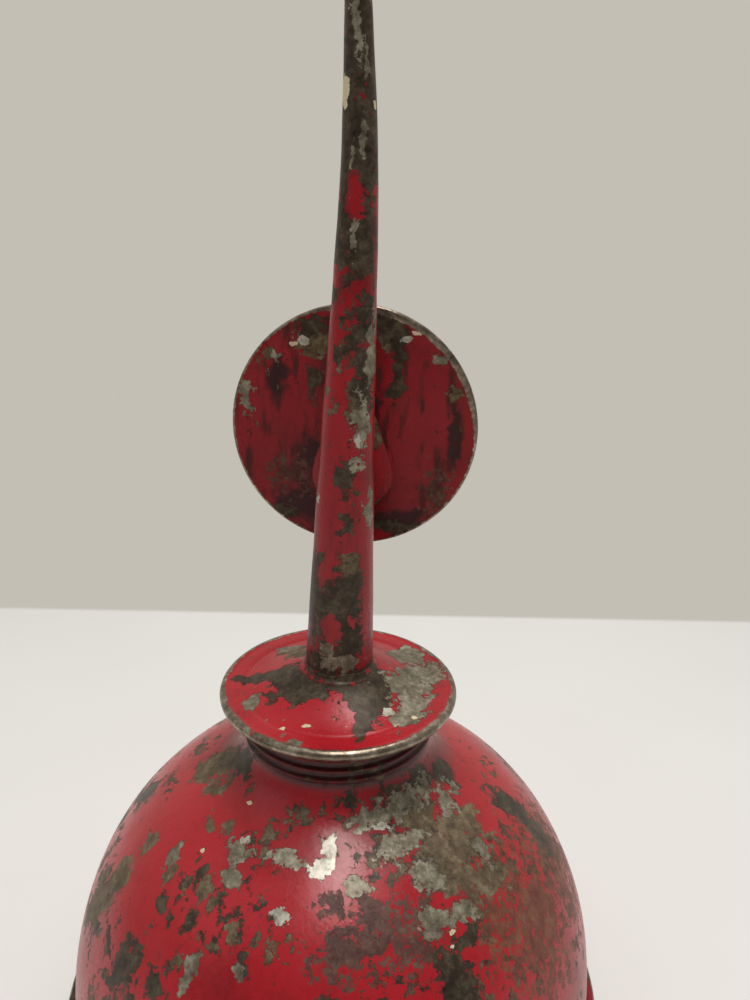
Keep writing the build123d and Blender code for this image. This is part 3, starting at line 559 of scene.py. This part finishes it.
def worn_enamel(name, spots, chips=0.5, bare=None, soot_and_shade=None, shade=1.0, streaks=0.0,
                specular=0.34, tearing=1.0, stepped=("dark", "olive", "zinc", "silver")):
    """Red enamel over zinc and steel.

    spots holds lists of worn places by what shows there: dark, olive, zinc, silver, brown,
    plum, stain and cream, and red where the paint stays whole. chips sets how many small random
    chips there are. bare and sooty are functions of the shader that give a mask of bare
    metal, such as along an edge, and of grime, such as in a groove; bare on the disc also holds a
    painted highlight, a wider band at the rim's upper right, and sooty on the neck also holds painted
    shade in the thread's grooves and under the cap. shade darkens the paint, and on the upright spout
    and disc that is painted shade, darker than the lamps alone make them. streaks draws dark upright
    streaks, specular is the paint's gloss, tearing is how far the
    outlines of the spots are broken up, and stepped names the kinds with a step at the
    paint's edge. One material can hold only so many places: too many make it render black.
    """
    s = Shader(name)
    loose = s.warped(4.2, 1.5)
    broad_noise = s.noise(16.0, 2.0, 0.5, shift=0.57)
    coarse_noise = s.noise(4.5, 6.0, 0.62, where=loose, shift=0.31)
    fine_noise = s.noise(1.2, 5.0, 0.66, shift=0.13)
    speck_noise = s.noise(0.45, 3.0, 0.65, shift=0.83)
    cloud_noise = s.noise(2.8, 4.0, 0.6, where=loose, shift=0.07)
    ragged = s.warped(0.8, 0.35, loose)
    flakes = s.cells(1.5, ragged)
    slivers = s.cells(0.7, ragged)
    torn = s.total((coarse_noise, 5.0), (fine_noise, 2.4), (flakes, 0.30), (slivers, 0.16), plus=-3.93)

    def area(kind, raggedness=1.0):
        """Above 0 inside the worn places of a kind, with torn outlines."""
        places = spots.get(kind)
        if not places:
            return None
        return s.total((s.nearness(places, loose), 1.0), (torn, raggedness * tearing))

    def tones(colours, low=0.36, high=0.64):
        mixed = s.total((cloud_noise, 0.45), (fine_noise, 0.40), (speck_noise, 0.15))
        return s.ramp(mixed, (low, colours[0]), (0.5, colours[1]), (high, colours[2]))

    mottle = s.total((broad_noise, 0.7), (fine_noise, 0.3))
    # shade scales the red down; on the upright spout and disc this is painted shade
    base = s.ramp(mottle, (0.30, scaled(RED[0], shade)), (0.48, scaled(RED[1], shade)),
                  (0.66, scaled(RED[2], shade)))
    shine = s.blend(coarse_noise, 0.16, 0.42)
    metal = 0.0
    whole = area("red", 0.6)
    worn = 1.0 if whole is None else s.rise(whole, 0.04, 0.0)

    def cover(amount, colour, roughness, metallic=0.0):
        nonlocal base, shine, metal
        base = s.colour(amount, base, colour)
        shine = s.blend(amount, shine, roughness)
        metal = s.blend(amount, metal, metallic)

    def strip(kind, colours, roughness, metallic, raggedness=1.0, film=0.10):
        """Shows what is under the paint at the spots of a kind, inside a thin dark edge."""
        field = area(kind, raggedness)
        if field is None:
            return
        edge = s.math("MULTIPLY", s.rise(field, -film, 0.0), s.math("MULTIPLY", worn, 0.75))
        cover(edge, FILM, 0.5)
        cover(s.math("MULTIPLY", s.rise(field, 0.0, 0.03), worn), tones(colours), roughness, metallic)

    # stains, grime and painted shade that lie on the paint
    if streaks:
        upright = s.noise(2.4, 4.0, 0.6, stretch=(1.0, 1.0, 0.22), shift=0.77)
        cover(s.math("MULTIPLY", s.rise(upright, 0.50, 0.66), streaks), FILM, 0.45)
    # grime, and on the neck painted shade: darker in the thread's grooves and under the cap
    if soot_and_shade:
        cover(soot_and_shade(s, fine_noise), SOOT_AND_SHADE, 0.40)
    if spots.get("stain"):
        smear = s.total((s.nearness(spots["stain"], loose), 1.0), (coarse_noise, 2.6), plus=-1.3)
        cover(s.math("MULTIPLY", s.rise(smear, -0.1, 0.55), 0.9), SOOT_AND_SHADE, 0.35)
    pits = s.rise(s.noise(0.8, 2.0, 0.5, where=loose, shift=0.21), 0.73, 0.77)
    cover(s.math("MULTIPLY", pits, 0.85), DARK[0], 0.6)

    # small random chips in clusters
    clusters = s.rise(s.noise(15.0, 3.0, 0.55, shift=0.11), 0.38, 0.62)
    lumps = s.noise(2.3, 6.0, 0.70, where=ragged, stretch=(1.0, 1.0, 0.7), shift=0.47)
    chipped = s.total((lumps, 1.0), (flakes, 0.06), (clusters, 0.17 * chips), plus=0.03 * chips - 0.79)
    cover(s.math("MULTIPLY", s.rise(chipped, -0.015, 0.0), worn), FILM, 0.5)
    chip_tone = s.colour(s.rise(coarse_noise, 0.47, 0.53), tones(DARK), tones(OLIVE))
    chip_cut = s.rise(chipped, 0.0, 0.006)
    cover(s.math("MULTIPLY", chip_cut, worn), chip_tone, 0.5, 0.2)

    for kind, colours, share in (("brown", BROWN, 0.85), ("plum", PLUM, 1.0)):
        if spots.get(kind):
            reach = s.nearness(spots[kind], loose)
            web = s.total((lumps, 4.0), (fine_noise, 4.0), (flakes, 0.35), (reach, 0.9), plus=-4.24)
            patchy = s.math("MULTIPLY", s.rise(reach, -0.6, -0.2), s.rise(web, 0.0, 0.12))
            cover(s.math("MULTIPLY", patchy, share), tones(colours), 0.55, 0.05)
    strip("olive", OLIVE, s.blend(fine_noise, 0.38, 0.75), 0.15)
    strip("dark", DARK, s.blend(fine_noise, 0.25, 0.60), 0.25)
    strip("zinc", ZINC, s.blend(speck_noise, 0.28, 0.62), 0.45)
    strip("silver", SILVER, 0.42, 0.5)
    # bare metal; on the disc this also holds a painted highlight at the rim's upper right
    if bare:
        cover(bare(s, fine_noise), tones(PEWTER, 0.34, 0.66), 0.30, 0.8)
    strip("cream", (CREAM,) * 3, 0.8, 0.0, 0.5, 0.02)

    relief = s.total((chip_cut, -0.8), (fine_noise, 0.25), (flakes, 0.05))
    stripped = [place for kind in stepped for place in spots.get(kind, [])]
    if stripped:
        peeled = s.total((s.nearness(stripped, loose), 1.0), (torn, tearing))
        relief = s.total((s.rise(peeled, -0.02, 0.04), -0.8), (relief, 1.0))
    orange_peel = s.noise(0.7, 2.0, 0.5, shift=0.9)
    return s.finish(base, shine, metal, height=relief, depth=0.10, fine=orange_peel, specular=specular)


def scaled(colour, factor):
    return tuple(channel * factor for channel in colour)


def rim_wear(inner, outer, share):
    """Bare metal where the distance from the axis passes from inner to outer, in millimetres."""
    def wear(s, fine_noise):
        edge = s.rise(s.radius(), inner * MM, outer * MM)
        lobes = s.noise(3.0, 3.0, 0.6, shift=0.66)
        rough = s.total((edge, share), (fine_noise, 1.4), (lobes, 2.4), plus=-1.9)
        return s.rise(rough, 0.45, 0.55)
    return wear


def disc_edge_wear_and_highlight(s, fine_noise):
    """Bare metal round the disc's edge, and a painted highlight: the band widens towards the upper right, where
    the light catches the rim.
    """
    centre = arm_point(0, DISC_FACE + DISC_SHEET / 2, DISC_CENTRE)
    offset = s.vector_math("SUBTRACT", s.where, tuple(centre))
    distance = s.node("ShaderNodeVectorMath", {0: offset}, operation="LENGTH").outputs["Value"]
    x, _, z = s.parts(offset)
    # painted highlight: the bare band is wider towards the upper right of the rim
    upper_right = s.rise(s.total((x, 0.6), (z, 0.8)), 0.45 * DISC_RADIUS, 0.85 * DISC_RADIUS)
    inner = s.total((upper_right, -0.9 * MM), plus=DISC_RADIUS - 0.8 * MM)
    edge = s.math("DIVIDE", s.math("SUBTRACT", distance, inner), 0.5 * MM)
    rough = s.total((edge, 0.6), (fine_noise, 1.2), plus=-0.6)
    return s.rise(rough, 0.25, 0.45)


def neck_grime_and_shade(s, fine_noise):
    """Grime on the neck, with painted shade: darker between the thread's ridges and in the corner under the cap,
    where shade falls.
    """
    z = s.parts(s.where)[2]
    on_neck = s.rise(z, NECK_FOOT - 2.2 * MM, NECK_FOOT - 0.3 * MM)
    valley = s.rise(s.radius(), 18.8 * MM, 18.2 * MM)
    rough = s.math("ADD", s.math("MULTIPLY", fine_noise, 0.6), 0.6)
    mostly = s.math("ADD", s.math("MULTIPLY", valley, 0.6), 0.6, clamp=True)
    return s.math("MULTIPLY", s.math("MULTIPLY", on_neck, mostly), rough, clamp=True)


def seam_grime(s, fine_noise):
    """Grime along the line between the rolls of the base seam."""
    z = s.parts(s.where)[2]
    away = s.math("ABSOLUTE", s.math("SUBTRACT", z, (SEAM[0].z + SEAM[1].z) / 2))
    return s.math("MULTIPLY", s.rise(away, 1.1 * MM, 0.4 * MM), s.math("ADD", fine_noise, 0.4), clamp=True)


def make_materials():
    """Enamels of the painted pieces; the front's worn places follow the photographed can."""
    dome = {
        "zinc": [
            on_dome(43, 61, 7, 2.8), on_dome(33, 57.5, 4.5, 2.2), on_dome(29, 60.5, 4.5, 2.0),
            on_dome(37, 54.5, 2.4, 2.6), on_dome(33, 50.5, 2.4, 2.6), on_dome(41, 50, 3.4, 1.8),
            on_dome(67, 58.5, 3.4, 2.6), on_dome(60, 53, 1.6, 3), on_dome(14, 55.2, 2.6, 1.4),
            on_dome(-10, 56.8, 4.2, 1.5), on_dome(-31, 56.4, 2.9, 2.1), on_dome(-26, 53.8, 2.4, 1.3),
            on_dome(-15, 46.4, 1.5, 1.4), on_dome(-26, 44, 1.6, 2.6), on_dome(-50, 52, 1.0, 2.6),
        ],
        "silver": [
            on_dome(4.5, 58.6, 1.3, 2.4), on_dome(2.0, 56.6, 2.2, 1.7), on_dome(-31.5, 57, 1.6, 1.2),
            on_dome(-8, 52.2, 1.5, 1.3), on_dome(28, 59.5, 1.6, 0.7),
        ],
        "olive": [
            on_dome(-76, 58.6, 5.4, 5.0), on_dome(52, 55.4, 8.4, 6.4), on_dome(47, 59.5, 5, 3.6),
            on_dome(55, 51, 6, 4.4), on_dome(-40, 57, 1.5, 1.9), on_dome(-46, 56, 2.2, 0.8),
            on_dome(-33, 52.2, 1.8, 1.6),
            on_dome(-46, 50, 1.2, 1.6), on_dome(-63, 42, 2.6, 9.0), on_dome(-61, 49, 1.4, 3.8),
            on_dome(-20, 49.8, 1.6, 1.4), on_dome(-68, 36, 3, 6),
        ],
        "dark": [
            on_dome(34, 43.6, 3.0, 5.4), on_dome(40, 47.6, 3.6, 1.6), on_dome(8, 43.5, 3.6, 2.6),
            on_dome(18, 43.5, 1.2, 2.6), on_dome(-34, 39.4, 2.8, 2.1), on_dome(-43, 37.9, 4.1, 4.4),
            on_dome(-32, 48.3, 0.9, 1.5), on_dome(-37, 52.5, 0.9, 1.6), on_dome(-42, 47.5, 1.8, 1.2),
            on_dome(86, 50, 3, 9),
            on_dome(78, 60, 3, 3.4), on_dome(-88, 46, 2.4, 8), on_dome(-62, 62.5, 3.4, 2.4),
            on_dome(58, 62.5, 4.0, 2.4), on_dome(40, 63, 3, 1.4),
        ],
        "plum": [on_dome(19, 51.4, 9.5, 4.4), on_dome(10, 49.6, 5.6, 4.4), on_dome(27, 49, 6, 4.4),
                 on_dome(5, 53.4, 3.4, 2.0)],
        "brown": [
            on_dome(63, 42, 13, 13), on_dome(60, 50, 8, 6), on_dome(84, 42, 12, 16),
            on_dome(50, 46, 5, 5),
        ],
        "cream": [
            on_dome(-42, 54.2, 0.45, 0.5), on_dome(37, 48.9, 0.6, 0.4), on_dome(36, 47.6, 0.4, 0.35),
            on_dome(-40, 59.5, 0.5, 0.3),
        ],
    }
    cap = {
        "olive": [
            on_cap(0.5, 14, 5, 3), on_cap(-10.6, 9.0, 4, 2.4), on_cap(15.6, -9.4, 2.0, 1.6),
            on_cap(-8, 4.5, 3, 2.2),
        ],
        "dark": [
            on_cap(-5.5, -7.4, 6.6, 4.2), on_cap(-9.5, -4, 4.2, 3.4), on_cap(-15, -2.0, 5.0, 1.5),
            on_cap(5.5, -8.8, 4.8, 4.6), on_cap(6, -14, 1.8, 4.2), on_cap(1.0, -8.4, 3.5, 1.3),
            on_cap(8.4, -5.0, 3.0, 5.0),
        ],
        "zinc": [
            on_cap(14.2, -1.5, 4.6, 8.5), on_cap(16.6, 3.5, 3.8, 6.0), on_cap(13.4, -10.5, 3.0, 3.6),
            on_cap(13, 11, 4, 4), on_cap(-15.2, -10.0, 1.2, 2.4), on_cap(-12.6, 10.4, 4, 1.6),
            on_cap(-13, -20, 2.6, 0.8), on_cap(-5, -20.4, 1.4, 0.8),
        ],
        "silver": [on_cap(10.5, -10.5, 1.0, 1.2)],
        "red": [on_cap(11.4, 4.2, 1.6, 1.0), on_cap(19.6, -1.5, 1.3, 1.0)],
        "cream": [on_cap(-8, -17, 0.6, 0.4), on_cap(-3.9, -16, 0.7, 0.4), on_cap(15.2, -10.4, 0.5, 0.5)],
    }
    spout = {
        "dark": [
            on_spout(0, 81, 9, 10), on_spout(0, 93, 12, 12), on_spout(0, 108, 12, 16),
            on_spout(0, 122, 12, 12), on_spout(30, 66, 2.4, 8), on_spout(40, 56, 1.8, 8),
            on_spout(5, 38.5, 1.8, 2.6), on_spout(8, 30, 1.6, 1.8), on_spout(0, 15, 8, 5.0),
            on_spout(16, 8, 6, 5), on_spout(-20, 3, 6, 3), on_spout(30, 0.6, 8, 1.6),
            on_spout(180, 60, 3, 30), on_spout(150, 20, 3, 8),
            on_spout(-42, 24, 1.0, 1.4), on_spout(-30, 60, 0.8, 1.0), on_spout(-20, 65.5, 0.9, 0.7),
        ],
        "olive": [on_spout(24, 52, 1.6, 4), on_spout(-10, 77, 2.0, 4), on_spout(20, 22, 2, 2)],
        "zinc": [
            on_spout(36, 47, 1.8, 5.4), on_spout(64, 33.5, 1.4, 2.6), on_spout(60, 60, 1.2, 6),
            on_spout(12, 3.5, 4.4, 1.4), on_spout(-14, 6.5, 1.6, 1.2), on_spout(4, 108, 0.7, 5),
            on_spout(18, 93, 0.5, 3.4), on_spout(-12, 90.5, 0.4, 1.8), on_spout(30, 103, 0.4, 3),
            on_spout(-4, 79, 0.6, 3.0),
        ],
        "silver": [
            on_spout(-61, 34, 0.8, 0.7), on_spout(32, 46, 0.6, 2.2), on_spout(6, 117, 0.6, 2.6),
        ],
        "stain": [on_spout(-60, 100, 3, 26), on_spout(70, 100, 2, 26), on_spout(-60, 16, 3, 12)],
        "red": [on_spout(-4, 84.5, 1.6, 3.2), on_spout(78, 79, 1.2, 9), on_spout(-8, 9.9, 2.0, 2.6),
                on_spout(66, 12, 2.4, 8), on_spout(-70, 10, 2.0, 4)],
        "cream": [on_spout(-58, 99.7, 0.9, 1.9), on_spout(-50, 97.6, 0.5, 0.7), on_spout(70, 98, 0.5, 0.8)],
    }
    disc = {
        "dark": [
            on_disc(6.5, 21, 3.6, 2.8), on_disc(8.6, 12.5, 1.3, 8), on_disc(-7.6, 20.4, 3.0, 1.8),
            on_disc(-8.4, 9, 1.0, 3.4), on_disc(11, -20.6, 5.4, 1.6), on_disc(-14, -19, 3, 2),
        ],
        "olive": [on_disc(-7.6, 17.4, 3.6, 2.6), on_disc(7.6, 17.6, 2.2, 2.0), on_disc(-16.5, 14.5, 1.4, 2.2),
                  on_disc(19.7, 8, 1.0, 1.4)],
        "zinc": [on_disc(-21.6, 6.3, 1.2, 4), on_disc(16.5, 14.7, 1.4, 0.8), on_disc(-15.5, 14.5, 1.4, 1.0)],
        "silver": [on_disc(10.3, 18, 1.2, 0.6), on_disc(-10, 17.2, 1.0, 0.5)],
        "plum": [on_disc(-12, -10, 5, 4), on_disc(17, -12, 3, 6)],
        "stain": [on_disc(-9, -17, 9, 5.4), on_disc(11, -19, 9, 4), on_disc(0, 6, 6.5, 17),
                  on_disc(-15, 11, 3, 5), on_disc(-9, -6, 3.4, 5), on_disc(20, 0, 1.6, 9)],
        "cream": [on_disc(11.6, 19.4, 0.9, 0.4), on_disc(-12, 16.6, 0.8, 0.4)],
    }
    return {
        # the dome's neck gets grime with painted shade in its grooves and under the cap
        "dome": worn_enamel("dome_enamel", dome, chips=1.25, soot_and_shade=neck_grime_and_shade, specular=0.5, tearing=0.8,
                            stepped=("zinc", "silver")),
        "cap": worn_enamel("cap_enamel", cap, chips=0.6, bare=rim_wear(21.3, 22.4, 1.15), tearing=0.6),
        # painted shade: the upright spout's red is darkened to 0.80 of the dome's
        "spout": worn_enamel("spout_enamel", spout, chips=1.0, shade=0.80, streaks=0.35),
        # painted shade: the upright disc's red is darkened to 0.66; its rim wear also holds a painted highlight
        "disc": worn_enamel("disc_enamel", disc, chips=0.7, bare=disc_edge_wear_and_highlight, shade=0.66, streaks=0.8,
                            specular=0.22),
        "seam": worn_enamel("seam_enamel", {}, chips=2.6, shade=0.62, bare=rim_wear(56.2, 56.85, 1.1),
                            soot_and_shade=seam_grime),
        "fittings": worn_enamel("fitting_enamel", {}, chips=1.9, shade=0.75, streaks=0.5),
    }


def metal_material(name, dark, mid, light, roughness=(0.25, 0.5), grain=1.2, stain=None):
    """Worked metal: fine turning grain, tarnish in patches and, when given, oily stains."""
    s = Shader(name)
    broad = s.noise(grain * 5, 3.0, 0.6)
    fine = s.noise(grain * 0.5, 3.0, 0.6, stretch=(1, 1, 4))
    tone = s.math("ADD", s.math("MULTIPLY", broad, 0.65), s.math("MULTIPLY", fine, 0.35))
    base = s.ramp(tone, (0.36, dark), (0.5, mid), (0.64, light))
    if stain:
        base = s.colour(s.rise(s.noise(grain * 3, 4.0, 0.7, shift=0.4), 0.55, 0.68), base, stain)
    shine = s.blend(broad, *roughness)
    return s.finish(base, shine, 0.9, height=fine, depth=0.02)


def soft_material(name, dark, light, lump, roughness=0.75, depth=0.15):
    """Leather or cork: mottled, with a bumpy grain."""
    s = Shader(name)
    grain = s.noise(lump, 4.0, 0.65)
    broad = s.noise(lump * 6, 2.0, 0.5, shift=0.2)
    tone = s.math("ADD", s.math("MULTIPLY", grain, 0.6), s.math("MULTIPLY", broad, 0.4))
    base = s.colour(s.rise(tone, 0.35, 0.65), dark, light)
    return s.finish(base, roughness, 0.0, height=grain, depth=depth)


# ---------------------------------------------------------------- stage

FAR_EDGE = 0.1798              # of the table top, from the axis
FAR_EDGE_TURN = radians(5.59)
BACKDROP = (0.545, 0.520, 0.462)
FRONT_ROOM = (0.165, 0.158, 0.146)


def make_floor():
    """Pale table top; past its far edge the floor takes the plain background's tone."""
    half = 3.0
    corners = [(-half, -half, 0), (half, -half, 0), (half, half, 0), (-half, half, 0)]
    floor = smooth_object("floor", corners, [(0, 1, 2, 3)])
    s = Shader("pale_floor")
    x, y, _ = s.parts(s.where)
    away = s.total((x, -sin(FAR_EDGE_TURN)), (y, cos(FAR_EDGE_TURN)))
    beyond = s.rise(away, FAR_EDGE - 2 * MM, FAR_EDGE + 2 * MM)
    tone = s.colour(s.noise(60.0, 2.0, 0.5), (0.79, 0.785, 0.775), (0.83, 0.825, 0.82))
    table = s.node("ShaderNodeBsdfPrincipled", {"Base Color": tone, "Roughness": 0.8}).outputs[0]
    backdrop = s.node("ShaderNodeEmission", {"Color": opaque(BACKDROP), "Strength": 1.0}).outputs[0]
    mixed = s.node("ShaderNodeMixShader", {0: beyond, 1: table, 2: backdrop}).outputs[0]
    s.node("ShaderNodeOutputMaterial", {"Surface": mixed})
    floor.data.materials.append(s.material)


def make_world():
    world = bpy.data.worlds.new("soft_room")
    world.use_nodes = True
    tree = world.node_tree
    direction = tree.nodes.new("ShaderNodeTexCoord").outputs["Generated"]
    split = tree.nodes.new("ShaderNodeSeparateXYZ")
    tree.links.new(direction, split.inputs[0])
    behind = tree.nodes.new("ShaderNodeMapRange")
    tree.links.new(split.outputs["Y"], behind.inputs["Value"])
    behind.inputs["From Min"].default_value = -0.5
    behind.inputs["From Max"].default_value = 0.5
    mix = tree.nodes.new("ShaderNodeMix")
    mix.data_type = "RGBA"
    tree.links.new(behind.outputs[0], mix.inputs[0])
    mix.inputs[6].default_value = opaque(FRONT_ROOM)
    mix.inputs[7].default_value = opaque(BACKDROP)
    tree.links.new(mix.outputs[2], tree.nodes["Background"].inputs["Color"])
    bpy.context.scene.world = world


def area_light(name, place, target, size, power, colour=(1, 1, 1)):
    light = bpy.data.lights.new(name, "AREA")
    light.shape = "RECTANGLE"
    light.size, light.size_y = size
    light.energy = power
    light.color = colour
    lamp = bpy.data.objects.new(name, light)
    lamp.location = place
    lamp.rotation_euler = (Vector(target) - Vector(place)).to_track_quat("-Z", "Y").to_euler()
    bpy.context.scene.collection.objects.link(lamp)


def make_camera():
    """Camera just above the cap's height, close in front, looking a little down."""
    camera = bpy.data.cameras.new("camera")
    camera.sensor_width = 36.0
    camera.lens = 27.04
    camera.clip_start = 0.005
    view = bpy.data.objects.new("camera", camera)
    heading = Matrix.Rotation(radians(4.5), 4, "Z")
    pitch = Matrix.Rotation(radians(90 - 17.97), 4, "X")
    roll = Matrix.Rotation(radians(1.56), 4, "Z")
    view.matrix_world = Matrix.Translation((0.0162, -0.1283, 0.1553)) @ heading @ pitch @ roll
    bpy.context.scene.collection.objects.link(view)
    bpy.context.scene.camera = view


# ---------------------------------------------------------------- assembly

def stand_in(piece, body, node, material):
    """The piece rides on the body and is shown in place of the CAD node."""
    piece.data.materials.append(material)
    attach(piece, body)
    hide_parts(node)


def paint_node(name, material):
    """Gives a CAD node its finished material."""
    piece = frame["nodes"][name]
    if not piece.data.materials:
        piece.data.materials.append(material)
    for place in piece.material_slots:
        place.material = material


def finish_slots():
    """Materials of the CAD nodes that are shown as they are, by the record's slots."""
    steel = metal_material("oily_steel", (0.10, 0.09, 0.075), (0.22, 0.205, 0.18), (0.36, 0.34, 0.31),
                           stain=(0.05, 0.035, 0.025))
    by_slot = {
        "bare_steel": steel,
        "plated_steel": metal_material("ball_steel", (0.50, 0.50, 0.49), (0.60, 0.60, 0.59),
                                       (0.68, 0.68, 0.67), (0.08, 0.18), 0.8),
        "spring_steel": metal_material("spring_wire", (0.16, 0.16, 0.165), (0.26, 0.26, 0.265),
                                       (0.38, 0.38, 0.385), (0.25, 0.4), 0.6),
        "solder": metal_material("dull_solder", (0.20, 0.19, 0.175), (0.34, 0.33, 0.31),
                                 (0.47, 0.46, 0.44), (0.4, 0.6), 1.5, stain=(0.20, 0.02, 0.02)),
        "brass": metal_material("aged_brass", (0.21, 0.13, 0.045), (0.48, 0.33, 0.13),
                                (0.64, 0.47, 0.21), (0.25, 0.5), 1.2, stain=(0.10, 0.075, 0.04)),
        "leather": soft_material("oiled_leather", (0.055, 0.030, 0.016), (0.16, 0.09, 0.05), 0.5),
        "cork": soft_material("oiled_cork", (0.12, 0.065, 0.032), (0.32, 0.20, 0.11), 0.9),
    }
    for part in frame["record"]["subparts"]:
        if part["material_slot"] in by_slot:
            paint_node(part["node"], by_slot[part["material_slot"]])


def main():
    make_camera()
    make_world()
    make_floor()
    area_light("overhead", (0.05, -0.06, 0.75), (0.05, -0.06, 0.0), (0.16, 0.70), 4.2, (1.0, 0.985, 0.96))
    area_light("side_fill", (-0.55, -0.25, 0.50), (0, 0, 0.07), (0.5, 0.5), 0.25)
    enamel = make_materials()
    finish_slots()
    stand_in(make_can(), "can", "can_dome", enamel["dome"])
    stand_in(make_seam(), "can", "base_seam", enamel["seam"])
    stand_in(make_cap(), "cap", "cap_plate", enamel["cap"])
    stand_in(make_spout(), "cap", "spout", enamel["spout"])
    stand_in(make_spout_foot(), "cap", "spout_solder", enamel["spout"])
    stand_in(make_disc(), "lever", "thumb_disc", enamel["disc"])
    paint_node("lever_arm", enamel["fittings"])
    paint_node("lever_bracket", enamel["fittings"])
    paint_node("can_bottom", enamel["fittings"])
    paint_node("disc_solder", enamel["disc"])
    bpy.context.scene.view_settings.view_transform = "Standard"


main()
